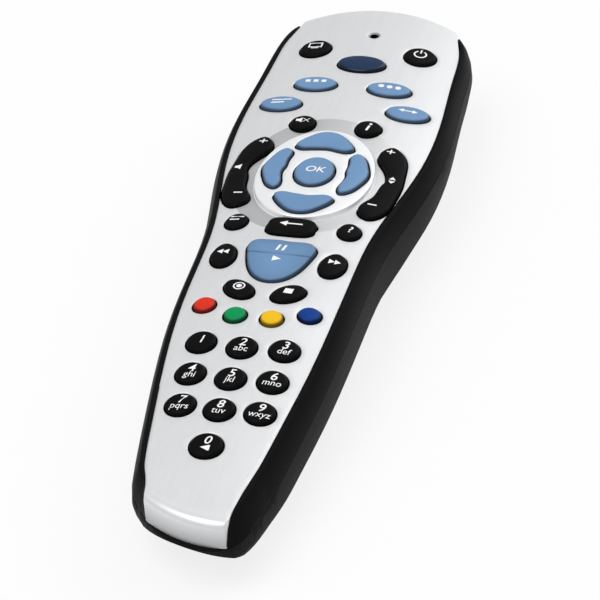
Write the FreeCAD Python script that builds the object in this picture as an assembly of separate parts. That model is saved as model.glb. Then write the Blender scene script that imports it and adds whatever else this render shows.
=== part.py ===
import FreeCAD, Part
import math
import os

from FreeCAD import Vector

# Satellite box remote control, lying on its back with the keys up.
# X runs across it, Y along it towards the head that points at the box, Z up from the table.
# Every length is in millimetres.

# Face and outline
face_height = 28.0
crown_radius = 120.0
bend_start_y = -28.0
bend_radius = 190.0
tail_slope_deg = 6.7
half_outline = [
    (0.0, 107.7),
    (14.5, 105.5),
    (23.6, 101.9),
    (26.7, 96.5),
    (28.6, 80.0),
    (29.8, 53.0),
    (28.5, 28.5),
    (25.6, 11.0),
    (23.4, -4.0),
    (22.6, -22.0),
    (21.4, -50.0),
    (17.9, -80.0),
    (14.9, -96.5),
    (11.3, -103.8),
    (5.0, -107.2),
    (0.0, -107.9),
]
outline_samples = 56

# Side form, from the plate's edge down to the widest level, as share of that height and inset
rail_levels = [(-0.4, 4.3), (-0.06, 3.1), (0.06, 2.1), (0.25, 1.15), (0.6, 0.3)]
widest_depth = 10.5
hull_fractions = [0.35, 0.65, 0.85, 0.95]
hull_power = 2.6
hull_cut = 0.93
hull_end_share = 0.35
hull_least_drop = 5.0

# Underside profile, above low moulded pads that stand on the table
pad_height = 0.3
pad_places = [(-13.0, 13.0, -2.0, 13.0), (4.5, 9.0, -82.0, -78.2), (-9.0, -4.5, -82.0, -78.2)]
rest_front_y = 18.0
rest_back_y = -80.0
head_rise = 11.0
tail_rise = 12.2

# Walls and the seam between the two cases
rail_width = 3.6
ridge_height = 0.45
seam_depth = 7.3
seam_gap = 0.2
case_wall = 2.0
floor_wall = 1.8
ledge_thickness = 1.6
ledge_width = 2.6
snap_width = 5.0
snap_reach = 2.6
snap_places = [84.0, 50.0, -2.0, -40.0, -82.0]

# Silver face plate
plate_thickness = 1.5
plate_gap = 0.12
plate_head_y = 108.0
plate_head_corner = (21.7, 102.2)
plate_tail_half = 10.1
plate_tail_y = -106.9
plate_tail_radius = 24.3
plate_tail_round = 5.8
plate_skirt_z = 13.5
light_hole_y = 94.2
light_hole_radius = 1.1
light_bevel = 0.6

# Selection ring on the face plate
ring_y = 22.3
disc_half_x = 15.2
disc_half_y = 20.6
disc_height = 0.5
moat_half_x = 21.0
moat_half_y = 27.0
moat_depth = 0.5

# Keys
cap_height = 0.9
cap_gap = 0.28
side_clearance = 0.6
cap_base_z = 20.8
key_travel = 1.0
stem_side = 2.2
pill_height = 0.4

# Circuit board and rubber mat
board_top_z = 18.5
board_thickness = 1.2
board_inset = 5.7
board_tail_y = -86.0
board_head_y = 100.0
mat_thickness = 0.7
mat_inset = 6.4
mat_head_y = 89.0
mat_tail_y = -87.5
web_base = 5.2
web_top = 4.0
web_wall = 0.45

# Battery bay, two AA cells side by side
cell_radius = 7.1
cell_length = 49.5
cell_nub_radius = 2.6
cell_nub_height = 1.0
cell_pitch = 14.9
bay_tail_y = -73.0
contact_thickness = 0.4
spring_length = 4.6
spring_radius = 3.0
spring_wire = 0.6
bay_gap = 0.35
bay_wall = 1.2
bay_roof = 0.8

# Battery cover
cover_half = 15.0
cover_head_y = -9.0
cover_tail_y = -77.0
cover_gap = 0.25
cover_tongue = 2.4
grip_length = 9.0

# Infrared window, lamps and the parts under the board
window_half = 11.0
window_height = 4.3
emitter_radius = 2.5
emitter_z = 21.6
emitter_length = 7.4
emitter_tail_y = 96.6
indicator_radius = 1.5
post_side = 3.2
post_places = [(15.0, 82.0), (18.0, 42.0), (16.5, 4.0)]
lead = 0.5


def face_z(y):
    """Height of the middle of the face at this place along the remote."""
    slope = math.radians(tail_slope_deg)
    bend_end_y = bend_start_y - bend_radius * math.sin(slope)
    if y >= bend_start_y:
        return face_height
    if y >= bend_end_y:
        along = bend_start_y - y
        return face_height - bend_radius + math.sqrt(bend_radius**2 - along**2)
    bend_drop = bend_radius * (1 - math.cos(slope))
    return face_height - bend_drop - (bend_end_y - y) * math.tan(slope)


def crown_drop(x):
    """How far the crowned face has fallen at this distance from the middle."""
    return crown_radius - math.sqrt(crown_radius**2 - x**2)


def surface_z(x, y):
    """Height of the crowned face."""
    return face_z(y) - crown_drop(x)


def underside_z(y):
    """Height of the underside along the remote."""
    if y > rest_front_y:
        share = (y - rest_front_y) / (half_outline[0][1] - rest_front_y)
        return pad_height + head_rise * share**1.35
    if y < rest_back_y:
        share = (rest_back_y - y) / (rest_back_y - half_outline[-1][1])
        return pad_height + tail_rise * share**1.25
    return pad_height


def box(x0, x1, y0, y1, z0, z1):
    """Block between two opposite corners."""
    return Part.makeBox(x1 - x0, y1 - y0, z1 - z0, Vector(x0, y0, z0))


def pair_of_boxes(x0, x1, y0, y1, z0, z1):
    """Block on the right and its mirror image on the left."""
    return [box(x0, x1, y0, y1, z0, z1), box(-x1, -x0, y0, y1, z0, z1)]


def bar(radius, length, x, y, z, direction=Vector(0, 0, 1)):
    """Round bar that starts at a point."""
    return Part.makeCylinder(radius, length, Vector(x, y, z), direction)


def column(wire, z0=-5.0, z1=45.0):
    """Straight column over a closed flat wire that lies at Z = 0."""
    low = wire.copy()
    low.translate(Vector(0, 0, z0))
    high = wire.copy()
    high.translate(Vector(0, 0, z1))
    return Part.makeLoft([low, high], True, True)


def closed_spline(points):
    """Closed smooth wire through points."""
    curve = Part.BSplineCurve()
    curve.interpolate(Points=points, PeriodicFlag=True)
    return Part.Wire(curve.toShape())


def open_spline(points):
    """Smooth edge through points."""
    curve = Part.BSplineCurve()
    curve.interpolate(Points=points)
    return curve.toShape()


def moved_outwards(points, distance):
    """Points of a closed flat outline, moved along its outward normal."""
    count = len(points)
    centre = sum(points, Vector()) * (1 / count)
    area = sum((points[i] - centre).cross(points[(i + 1) % count] - centre).z for i in range(count))
    turn = 1 if area > 0 else -1
    moved = []
    for i, point in enumerate(points):
        along = points[(i + 1) % count] - points[i - 1]
        outwards = Vector(along.y, -along.x, 0) * turn
        moved.append(point + outwards.normalize() * distance)
    return moved


def outline_points(inset):
    """Points round the widest outline seen from above, moved inwards."""
    right = [Vector(x, y, 0) for x, y in half_outline]
    left = [Vector(-x, y, 0) for x, y in half_outline[-2:0:-1]]
    points = closed_spline(right + left).discretize(Number=outline_samples + 1)[:-1]
    return moved_outwards(points, -inset)


def plate_outline(gap):
    """Closed flat wire of the face plate, open beyond the tail, grown by a gap."""
    corner = Vector(plate_head_corner[0] + gap, plate_head_corner[1], 0)
    tip = Vector(0, plate_head_y + gap, 0)
    tail = Vector(plate_tail_half + gap, plate_tail_y - 5.0, 0)
    side = [p for p in outline_points(rail_width - gap) if p.x > 0 and -101.0 < p.y < 95.0]
    side.sort(key=lambda p: p.y)
    right = open_spline([tail] + side + [corner])
    left = right.mirror(Vector(0, 0, 0), Vector(1, 0, 0))
    head = Part.Arc(corner, tip, Vector(-corner.x, corner.y, 0)).toShape()
    end = Part.makeLine(tail, Vector(-tail.x, tail.y, 0))
    return Part.Wire(Part.__sortEdges__([right, head, left, end]))


def level_wire(inset, share, fraction=0.0):
    """Closed wire round the body at one level of its side form."""
    width = (1 - fraction**hull_power) ** (1 / hull_power)
    length = 1 - (1 - width) * hull_end_share
    wire = []
    for point in outline_points(inset):
        x = point.x * width
        y = point.y * length
        edge = surface_z(max(abs(point.x) - rail_width, 0.0), y)
        widest = face_z(y) - widest_depth
        drop = max((widest - underside_z(y)) / hull_cut, 0.0)
        z = edge + (widest - edge) * share - fraction * math.hypot(drop, hull_least_drop)
        wire.append(Vector(x, y, z))
    return closed_spline(wire)


def side_skin(inset):
    """The body's side surface, from above the rails to below the underside."""
    hidden = inset > 0
    rails = rail_levels[::3] if hidden else rail_levels
    fractions = hull_fractions[1::2] if hidden else hull_fractions
    wires = [level_wire(inset + extra, share) for share, extra in rails]
    wires.append(level_wire(inset, 1.0))
    wires += [level_wire(inset, 1.0, fraction) for fraction in fractions]
    return Part.makeLoft(wires, False, True)


def under_face(offset, crowned=True, bottom=-30.0):
    """Everything under the face, which is raised by an offset and is crowned or flat across."""
    half = 36.0
    y = bend_start_y
    top = face_height + offset
    edge = top - crown_drop(half) if crowned else top
    corners = [(half, edge), (half, bottom), (-half, bottom), (-half, edge)]
    sides = Part.makePolygon([Vector(x, y, z) for x, z in corners])
    if crowned:
        roof = Part.Arc(Vector(-half, y, edge), Vector(0, y, top), Vector(half, y, edge)).toShape()
    else:
        roof = Part.makeLine(Vector(-half, y, edge), Vector(half, y, edge))
    section = Part.Wire([roof] + sides.Edges)
    centre = Vector(0, y, top - bend_radius)
    across = Vector(1, 0, 0)
    turned = []
    for step in range(4):
        turned.append(section.copy())
        turned[-1].rotate(centre, across, tail_slope_deg * step / 3)
    head_part = Part.Face(section).extrude(Vector(0, 150, 0))
    bend_part = Part.makeLoft(turned, True, False)
    tail_part = Part.Face(section).extrude(Vector(0, -100, 0))
    tail_part.rotate(centre, across, tail_slope_deg)
    return head_part.fuse([bend_part, tail_part]).removeSplitter()


def above_underside(offset):
    """Everything above the underside, which is raised by an offset."""
    half = 40.0
    end_y = 125.0
    roof = 60.0
    tail_y = half_outline[-1][1] - 1.0
    head_y = half_outline[0][1] + 1.0
    steps = [0.0, 0.08, 0.2, 0.4, 0.6, 0.8, 1.0]
    tail = [rest_back_y + (tail_y - rest_back_y) * share for share in steps]
    head = [rest_front_y + (head_y - rest_front_y) * share for share in steps]
    tail_curve = open_spline([Vector(0, y, underside_z(y) + offset) for y in tail])
    head_curve = open_spline([Vector(0, y, underside_z(y) + offset) for y in head])
    level = pad_height + offset
    flat = Part.makeLine(Vector(0, rest_back_y, level), Vector(0, rest_front_y, level))
    rim = [
        Vector(0, head_y, underside_z(head_y) + offset),
        Vector(0, end_y, underside_z(head_y) + offset),
        Vector(0, end_y, roof),
        Vector(0, -end_y, roof),
        Vector(0, -end_y, underside_z(tail_y) + offset),
        Vector(0, tail_y, underside_z(tail_y) + offset),
    ]
    edges = [tail_curve, flat, head_curve] + Part.makePolygon(rim).Edges
    block = Part.Face(Part.Wire(Part.__sortEdges__(edges))).extrude(Vector(2 * half, 0, 0))
    block.translate(Vector(-half, 0, 0))
    return block


def body_solid(inset, top_offset, bottom_offset):
    """Solid body with its side moved in and its top and underside moved up."""
    block = under_face(top_offset).common(above_underside(bottom_offset))
    pieces = block.generalFuse([side_skin(inset)])[0].Solids
    middle = Vector(0, 0, face_height / 2)
    return [piece for piece in pieces if piece.isInside(middle, 0.01, True)][0]


def waterfall_block(offset):
    """Everything under the face plate's top and inside its rounded tail, moved in by an offset."""
    axis_y = plate_tail_y + plate_tail_radius
    round_r = plate_tail_radius - plate_tail_round
    radius = plate_tail_round - offset
    slope = math.radians(tail_slope_deg)
    round_z = face_z(axis_y - round_r) - plate_tail_round / math.cos(slope)
    start = Vector(round_r + radius * math.sin(slope), 0, round_z + radius * math.cos(slope))
    half_way = math.radians(45)
    middle = Vector(round_r + radius * math.sin(half_way), 0, round_z + radius * math.cos(half_way))
    end = Vector(round_r + radius, 0, round_z)
    rim = [end, Vector(end.x, 0, -10), Vector(45, 0, -10), Vector(45, 0, 40), Vector(start.x, 0, 40)]
    arc = Part.Arc(start, middle, end).toShape()
    profile = Part.Face(Part.Wire([arc] + Part.makePolygon(rim + [start]).Edges))
    profile.rotate(Vector(0, 0, 0), Vector(0, 0, 1), -135)
    outside = profile.revolve(Vector(0, 0, 0), Vector(0, 0, 1), 90)
    outside.translate(Vector(0, axis_y, 0))
    return under_face(-offset).cut(outside)


def ellipse_wire(x, y, half_x, half_y, tilt=0.0):
    """Closed elliptical wire; half sizes along X and Y before it is tilted."""
    if half_x == half_y:
        return Part.Wire(Part.makeCircle(half_x, Vector(x, y, 0)))
    curve = Part.Ellipse(Vector(0, 0, 0), max(half_x, half_y), min(half_x, half_y))
    wire = Part.Wire(curve.toShape())
    wire.rotate(Vector(0, 0, 0), Vector(0, 0, 1), tilt + (90 if half_y > half_x else 0))
    wire.translate(Vector(x, y, 0))
    return wire


def bead_wire(half_x, half_y, power=3.4):
    """Points of a rounded rectangle."""
    points = []
    for step in range(16):
        angle = math.radians(22.5 * step)
        c = math.cos(angle)
        s = math.sin(angle)
        x = math.copysign(abs(c) ** (2 / power), c) * half_x
        y = math.copysign(abs(s) ** (2 / power), s) * half_y
        points.append((x, y))
    return points


# Each round or oval key: place, half sizes and tilt of its cap
oval_keys = {
    "key_tv": (-14.55, 85.6, 4.5, 4.5, 0),
    "key_power": (14.55, 85.6, 4.5, 4.5, 0),
    "key_home": (0, 78.0, 6.7, 4.25, 0),
    "key_upper_left": (-10.05, 66.4, 6.1, 3.6, -3.6),
    "key_upper_right": (10.05, 66.4, 6.1, 3.6, 3.6),
    "key_lower_left": (-17.1, 56.2, 6.0, 3.7, -7),
    "key_lower_right": (17.1, 56.2, 6.0, 3.7, 7),
    "key_mute": (-8.8, 46.2, 3.55, 3.55, 0),
    "key_info": (8.8, 46.2, 3.55, 3.55, 0),
    "key_select": (0, 22.3, 5.3, 6.75, 0),
    "key_text": (-14.3, -1.3, 3.0, 3.5, 0),
    "key_help": (14.3, -1.3, 3.0, 3.5, 0),
    "key_rewind": (-13.6, -16.45, 3.3, 5.2, 6),
    "key_forward": (13.6, -16.45, 3.3, 5.2, -6),
    "key_record": (-6.06, -30.4, 4.6, 3.2, -38.6),
    "key_stop": (6.06, -30.4, 4.6, 3.2, 38.6),
    "key_red": (-12.8, -37.1, 2.9, 2.9, 0),
    "key_green": (-4.43, -40.3, 2.9, 2.9, 0),
    "key_yellow": (4.43, -40.3, 2.9, 2.9, 0),
    "key_blue": (12.8, -37.1, 2.9, 2.9, 0),
    "key_1": (-9.98, -50.5, 3.7, 3.7, 0),
    "key_2": (0, -51.3, 3.7, 3.7, 0),
    "key_3": (9.98, -50.5, 3.7, 3.7, 0),
    "key_4": (-9.73, -61.1, 3.7, 3.7, 0),
    "key_5": (0, -61.8, 3.7, 3.7, 0),
    "key_6": (9.73, -61.1, 3.7, 3.7, 0),
    "key_7": (-9.35, -71.5, 3.7, 3.7, 0),
    "key_8": (0, -72.05, 3.7, 3.7, 0),
    "key_9": (9.35, -71.5, 3.7, 3.7, 0),
    "key_0": (0, -83.7, 3.95, 3.95, 0),
}

# Half of the outline of each free-form key, from the middle of one edge round to the other
up_half = [(0, 10.9), (3.2, 10.5), (6.2, 10.3), (7.8, 11.6), (7.2, 13.7), (4.9, 16.7), (2.4, 18.7), (0, 19.2)]
side_outline = [
    (7.9, 0.6), (7.6, -3.6), (7.3, -7.1), (8.3, -8.7), (10.2, -7.9), (12.4, -4.4), (13.7, -0.7),
    (13.9, 1.6), (12.9, 5.6), (11.2, 9.2), (9.3, 10.4), (7.6, 9.2), (7.7, 5.0),
]
rocker_half = [(17.6, 0), (16.2, 7.0), (13.9, 13.0), (17.0, 16.9), (20.6, 14.0), (22.3, 6.2), (22.7, 0)]
play_half = [
    (0, -8.8), (4.2, -8.85), (7.2, -9.4), (8.6, -11.2), (8.4, -14.6), (7.1, -19.4), (4.9, -23.8),
    (2.5, -25.9), (0, -26.5),
]
back_half = (6.3, 3.9)
back_y = -2.6


def free_outline(name):
    """Points of a free-form key, in the remote's own place."""
    if name in ("key_up", "key_down"):
        turn = 1 if name == "key_up" else -1
        points = up_half + [(-x, y) for x, y in up_half[-2:0:-1]]
        return [Vector(x, ring_y + y * turn, 0) for x, y in points]
    if name in ("key_left", "key_right"):
        turn = 1 if name == "key_right" else -1
        return [Vector(x * turn, ring_y + y, 0) for x, y in side_outline]
    if name in ("key_volume", "key_channel"):
        turn = 1 if name == "key_channel" else -1
        points = rocker_half + [(x, -y) for x, y in rocker_half[-2:0:-1]]
        return [Vector(x * turn, ring_y + y, 0) for x, y in points]
    if name == "key_play":
        points = play_half + [(-x, y) for x, y in play_half[-2:0:-1]]
        return [Vector(x, y, 0) for x, y in points]
    return [Vector(x, back_y + y, 0) for x, y in bead_wire(back_half[0], back_half[1])]


# Where the free-form keys press on the board
free_keys = {
    "key_up": [(0, ring_y + 14.2)],
    "key_down": [(0, ring_y - 14.2)],
    "key_left": [(-10.4, ring_y + 0.6)],
    "key_right": [(10.4, ring_y + 0.6)],
    "key_volume": [(-16.0, ring_y + 13.3), (-16.0, ring_y - 13.3)],
    "key_channel": [(16.0, ring_y + 13.3), (16.0, ring_y - 13.3)],
    "key_play": [(0, -12.6), (0, -21.6)],
    "key_back": [(0, back_y)],
}
raised_keys = ("key_up", "key_down", "key_left", "key_right", "key_select")
side_keys = ("key_volume", "key_channel", "key_rewind", "key_forward", "key_7", "key_9")


def key_place(name):
    """Middle of a key on the face."""
    if name in oval_keys:
        return oval_keys[name][:2]
    spots = free_keys[name]
    return (sum(x for x, y in spots) / len(spots), sum(y for x, y in spots) / len(spots))


def key_wire(name, growth=0.0):
    """Closed flat wire of a key's cap about its own middle, grown by an amount."""
    x, y = key_place(name)
    if name in oval_keys:
        half_x, half_y, tilt = oval_keys[name][2:]
        return ellipse_wire(0, 0, half_x + growth, half_y + growth, tilt)
    points = [point - Vector(x, y, 0) for point in free_outline(name)]
    return closed_spline(moved_outwards(points, growth))


def on_face(shape, name):
    """Move a key's shape from the origin to its place, square to the face."""
    x, y = key_place(name)
    roll = math.degrees(math.asin(x / crown_radius))
    pitch = math.degrees(math.atan((face_z(y + 0.5) - face_z(y - 0.5))))
    shape.rotate(Vector(0, 0, 0), Vector(1, 0, 0), pitch)
    shape.rotate(Vector(0, 0, 0), Vector(0, 1, 0), roll)
    shape.translate(Vector(x, y, surface_z(x, y)))
    return shape


def key_opening(name, gap=cap_gap):
    """Column that clears a key, such as its opening in the face plate."""
    x, y = key_place(name)
    opening = column(key_wire(name, gap))
    opening.translate(Vector(x, y, 0))
    return opening


def key_cap(name):
    """Cap with a level base and a top that lies square to the face."""
    rise = cap_height + (disc_height if name in raised_keys else 0.0)
    x, y = key_place(name)
    low = key_wire(name)
    low.translate(Vector(x, y, cap_base_z))
    high = key_wire(name)
    high.translate(Vector(0, 0, rise))
    return Part.makeLoft([low, on_face(high, name)], True, True)


def press_points(name):
    """Places where a key's stem stands over the board."""
    if name in oval_keys:
        return [oval_keys[name][:2]]
    return free_keys[name]


def make_key(name):
    """Hard cap with its stem, and the conductive pill under the stem."""
    cap = key_cap(name)
    half = stem_side / 2
    pill_z = board_top_z + key_travel
    pills = []
    for x, y in press_points(name):
        stem = box(x - half, x + half, y - half, y + half, pill_z + pill_height, cap_base_z)
        cap = cap.fuse(stem)
        pills.append(box(x - half, x + half, y - half, y + half, pill_z, pill_z + pill_height))
    return Part.Compound(cap.Solids + pills)


def key_names():
    """Every key on the remote."""
    return list(oval_keys) + list(free_keys)


def moat_cutter():
    """Shallow trough round the raised disc."""
    outer = column(ellipse_wire(0, ring_y, moat_half_x, moat_half_y))
    inner = column(ellipse_wire(0, ring_y, disc_half_x, disc_half_y))
    return outer.cut([inner, under_face(-moat_depth)])


def make_face_plate():
    """Crowned silver plate with its key openings, selection ring and rounded tail."""
    disc = column(ellipse_wire(0, ring_y, disc_half_x, disc_half_y)).common(under_face(disc_height))
    plate = waterfall_block(0.0).cut(moat_cutter()).fuse(disc)
    plate = plate.cut(waterfall_block(plate_thickness))
    plate = plate.common(column(plate_outline(0.0), plate_skirt_z))
    openings = [key_opening(name) for name in key_names()]
    openings.append(bar(light_hole_radius, 40, 0, light_hole_y, 0))
    bevel_radius = light_hole_radius + light_bevel + 1.0
    bevel = Part.makeCone(
        light_hole_radius,
        bevel_radius,
        light_bevel + 1.0,
        Vector(0, light_hole_y, face_height - light_bevel),
    )
    return plate.cut(openings + [bevel])


def make_front_case(hull, cavity):
    """Upper case with the black rails, the ledge under the plate and its tabs."""
    front = hull.cut(under_face(seam_gap / 2 - seam_depth, crowned=False))
    pocket = column(plate_outline(plate_gap), plate_skirt_z - plate_gap)
    front = front.cut(pocket.cut(waterfall_block(plate_thickness)))
    opening = closed_spline(outline_points(rail_width + ledge_width))
    front = front.cut([column(opening), cavity])
    window_top = face_height - seam_depth + seam_gap / 2 + window_height
    window = box(-window_half, window_half, 99, 112, 10, window_top)
    front = front.cut([window] + [key_opening(name, side_clearance) for name in side_keys])
    tabs = []
    for y in snap_places:
        seam_z = face_z(y) - seam_depth
        x = half_width(y)
        shift = abs(half_width(y + snap_width) - half_width(y - snap_width)) / 2
        inner_x = x - case_wall - 1.2 - shift
        ledge_z = surface_z(inner_x, y) - plate_thickness - ledge_thickness / 2
        hook = (inner_x - 1.2, inner_x, y - snap_width / 2, y + snap_width / 2)
        tabs += pair_of_boxes(hook[0], hook[1], hook[2], hook[3], seam_z - snap_reach, ledge_z)
    return front.fuse(tabs)


def half_width(y):
    """Half of the outline's width at this place along the remote."""
    points = [p for p in outline_points(0.0) if p.x > 0]
    points.sort(key=lambda p: p.y)
    for low, high in zip(points, points[1:]):
        if low.y <= y <= high.y:
            return low.x + (high.x - low.x) * (y - low.y) / (high.y - low.y)
    return 0.0


def make_rear_shell(hull, cavity):
    """Lower case with the battery tray, the cover's opening and posts for the board."""
    rear = hull.common(under_face(-seam_gap / 2 - seam_depth, crowned=False))
    inside = rear.common(cavity)
    rear = rear.cut(cavity)
    wall_x = cell_pitch / 2 + cell_radius + bay_gap
    length = bay_length()
    roof_z = board_top_z - board_thickness - bay_roof
    y0 = bay_tail_y
    y1 = bay_tail_y + length
    outer = box(-wall_x - bay_wall, wall_x + bay_wall, y0 - bay_wall, y1 + bay_wall, 0, roof_z + bay_roof)
    inner = box(-wall_x, wall_x, y0, y1, -1, roof_z)
    tray = outer.cut(inner).common(inside)
    posts = []
    for x, y in post_places:
        half = post_side / 2
        top = board_top_z - board_thickness
        posts += pair_of_boxes(x - half, x + half, y - half, y + half, 0, top)
    pads = [box(*place, 0, floor_wall) for place in pad_places]
    rear = rear.fuse([tray] + [post.common(inside) for post in posts] + pads)
    opening = box(
        -cover_half - cover_gap,
        cover_half + cover_gap,
        cover_tail_y - cover_gap,
        cover_head_y + cover_gap,
        -2,
        floor_wall + cover_gap,
    )
    return rear.cut(opening)


def bay_length():
    """Length of the battery bay, from the cells and their contacts."""
    return 2 * contact_thickness + spring_length + cell_length + cell_nub_height


def make_battery_cover(hull, cavity):
    """Cover that closes the battery bay, with two tongues and a grip."""
    skin = hull.cut(cavity)
    panel = skin.common(box(-cover_half, cover_half, cover_tail_y, cover_head_y, -2, floor_wall))
    tongues = pair_of_boxes(
        5.0, 9.0, cover_tail_y - cover_tongue, cover_tail_y + 1.2, floor_wall + cover_gap, floor_wall + 1.4
    )
    roots = pair_of_boxes(5.0, 9.0, cover_tail_y, cover_tail_y + 1.2, floor_wall - 0.5, floor_wall + 1.4)
    grip_y = cover_head_y - grip_length
    grip = bar(12.0, 16.0, -8.0, grip_y + 4.0, pad_height - 11.2, Vector(1, 0, 0))
    return panel.cut(grip).fuse(tongues + roots)


def make_board():
    """Circuit board under the rubber mat."""
    points = outline_points(board_inset)
    outline = Part.makePolygon(points + points[:1])
    sheet = column(outline, board_top_z - board_thickness, board_top_z)
    return sheet.common(box(-40, 40, board_tail_y, board_head_y, 0, 40))


def frustum(x, y, base, top, z0, z1):
    """Square block that narrows upwards."""
    low = base / 2
    high = top / 2
    block = Part.makeWedge(-low, 0, -low, -high, -high, low, z1 - z0, low, high, high)
    block.rotate(Vector(0, 0, 0), Vector(1, 0, 0), 90)
    block.translate(Vector(x, y, z0))
    return block


def make_keymat():
    """Rubber mat with a thin sprung web under every key."""
    points = outline_points(mat_inset)
    outline = Part.makePolygon(points + points[:1])
    top = board_top_z + mat_thickness
    sheet = column(outline, board_top_z, top)
    sheet = sheet.common(box(-40, 40, mat_tail_y, mat_head_y, 0, 40))
    webs = []
    hollows = []
    for name in key_names():
        for x, y in press_points(name):
            webs.append(frustum(x, y, web_base, web_top, top, cap_base_z))
            inner_base = web_base - 2 * web_wall
            inner_top = web_top - 2 * web_wall
            hollows.append(frustum(x, y, inner_base, inner_top, board_top_z, cap_base_z))
    return sheet.fuse(webs).cut(hollows)


def make_cell(side):
    """One AA cell lying along Y; the right one points to the tail."""
    axis_z = floor_wall + 0.05 + cell_radius
    x = side * cell_pitch / 2
    tail = bay_tail_y + contact_thickness
    tail += spring_length if side < 0 else cell_nub_height
    body = bar(cell_radius, cell_length, x, tail, axis_z, Vector(0, 1, 0))
    nub_y = tail + cell_length if side < 0 else tail - cell_nub_height
    nub = bar(cell_nub_radius, cell_nub_height, x, nub_y, axis_z, Vector(0, 1, 0))
    return body.fuse(nub)


def contact_plate(x0, x1, at_head):
    """Flat metal contact against one end wall of the bay."""
    y0 = bay_tail_y + (bay_length() - contact_thickness if at_head else 0)
    return box(x0, x1, y0, y0 + contact_thickness, 3.5, 14.5)


def contact_spring(side):
    """Conical spring that presses on a cell's flat end, as a thin sleeve."""
    axis_z = floor_wall + 0.05 + cell_radius
    x = side * cell_pitch / 2
    head = side > 0
    y = bay_tail_y + (bay_length() - contact_thickness if head else contact_thickness)
    direction = Vector(0, -1 if head else 1, 0)
    start = Vector(x, y, axis_z)
    outer = Part.makeCylinder(spring_radius, spring_length, start, direction)
    return outer.cut(Part.makeCylinder(spring_radius - spring_wire, spring_length, start, direction))


def make_contacts():
    """The three metal contacts of the bay."""
    middle = cell_pitch / 2
    half = 4.5
    spring_contact = contact_plate(-middle - half, -middle + half, False).fuse(contact_spring(-1))
    button_contact = contact_plate(middle - half, middle + half, False)
    bridge_contact = contact_plate(-middle - half, middle + half, True).fuse(contact_spring(1))
    return {
        "spring_contact": spring_contact,
        "button_contact": button_contact,
        "bridge_contact": bridge_contact,
    }


def make_window(hull, cavity):
    """Dark infrared window in the head of the front case."""
    seam_z = face_height - seam_depth + seam_gap / 2
    half = window_half - 0.05
    opening = box(-half, half, 99, 112, seam_z + 0.0, seam_z + window_height - 0.05)
    return hull.cut(cavity).common(opening)


def lamp(radius, flange, length, x, y, z, direction):
    """Small lamp with a flange at its foot and a round nose."""
    base = bar(flange, 1.0, x, y, z, direction)
    return base.fuse(bar(radius, length, x, y, z, direction))


def make_emitter():
    """Infrared lamp that lies at the head of the board and looks through the window."""
    along = Vector(0, 1, 0)
    body = lamp(emitter_radius, emitter_radius + 0.4, emitter_length, 0, emitter_tail_y, emitter_z, along)
    legs = []
    for side in (-1, 1):
        x = side * 1.27
        back = emitter_tail_y
        legs.append(box(x - lead / 2, x + lead / 2, back - 0.8, back + 0.2, emitter_z - 0.3, emitter_z + 0.2))
        legs.append(box(x - lead / 2, x + lead / 2, back - 0.8, back - 0.3, board_top_z, emitter_z))
    return body.fuse(legs)


def make_indicator():
    """Small lamp that stands under the hole in the face plate."""
    height = face_height - plate_thickness - 0.4 - board_top_z
    return lamp(indicator_radius, indicator_radius + 0.3, height, 0, light_hole_y - 0.6, board_top_z, Vector(0, 0, 1))


def make_electronics():
    """Parts soldered under the board, in front of the battery bay."""
    under = board_top_z - board_thickness
    chip = box(-5, 5, 36, 48, under - 1.8, under)
    legs = []
    for step in range(6):
        y = 37.2 + 1.9 * step
        legs.append(box(-6.4, 6.4, y, y + 0.7, under - 0.9, under))
    capacitor = bar(3.2, 9.0, 4.0, 62, under - 3.2, Vector(1, 0, 0))
    resonator = box(-10, -4, 60, 63, under - 4.5, under)
    transistor = box(-4, 0.5, 82, 85, under - 4.0, under)
    return {
        "controller_chip": chip.fuse(legs),
        "capacitor": capacitor,
        "resonator": resonator,
        "driver_transistor": transistor,
    }


def build():
    """Make every piece and write its file."""
    hull = body_solid(0.0, ridge_height, 0.0)
    cavity = body_solid(case_wall, -plate_thickness - ledge_thickness, floor_wall - pad_height)
    pieces = {name: make_key(name) for name in key_names()}
    pieces["face_plate"] = make_face_plate()
    pieces["front_case"] = make_front_case(hull, cavity)
    pieces["rear_shell"] = make_rear_shell(hull, cavity)
    pieces["battery_cover"] = make_battery_cover(hull, cavity)
    pieces["circuit_board"] = make_board()
    pieces["keymat"] = make_keymat()
    pieces["cell_left"] = make_cell(-1)
    pieces["cell_right"] = make_cell(1)
    pieces["ir_window"] = make_window(hull, cavity)
    pieces["ir_emitter"] = make_emitter()
    pieces["indicator_led"] = make_indicator()
    pieces.update(make_contacts())
    pieces.update(make_electronics())
    os.makedirs("parts", exist_ok=True)
    for name, shape in pieces.items():
        shape.exportStep("parts/" + name + ".step")
    return pieces


build()
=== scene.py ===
"""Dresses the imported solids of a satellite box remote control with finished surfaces.

Lengths in the shape functions are in millimetres and become metres when a mesh is made.
X runs across the remote, Y along it towards the head, Z up from the table.
"""

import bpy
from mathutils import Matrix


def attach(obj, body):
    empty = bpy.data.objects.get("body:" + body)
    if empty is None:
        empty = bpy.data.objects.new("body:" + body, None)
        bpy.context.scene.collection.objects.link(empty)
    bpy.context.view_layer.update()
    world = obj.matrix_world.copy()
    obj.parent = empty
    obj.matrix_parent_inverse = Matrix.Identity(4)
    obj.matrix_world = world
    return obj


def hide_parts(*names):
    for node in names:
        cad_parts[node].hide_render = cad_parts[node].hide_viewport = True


bl_info = {
    "name": "Satellite Box Remote Control",
    "version": (1, 0, 0),
    "blender": (4, 5, 0),
    "location": "View3D > Sidebar > Remote",
    "description": "Builds the finished surfaces of a satellite box remote control",
    "category": "Object",
}

import math

import bmesh
import bpy
import numpy as np
from mathutils import Matrix, Vector, kdtree
from mathutils.geometry import delaunay_2d_cdt

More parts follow.
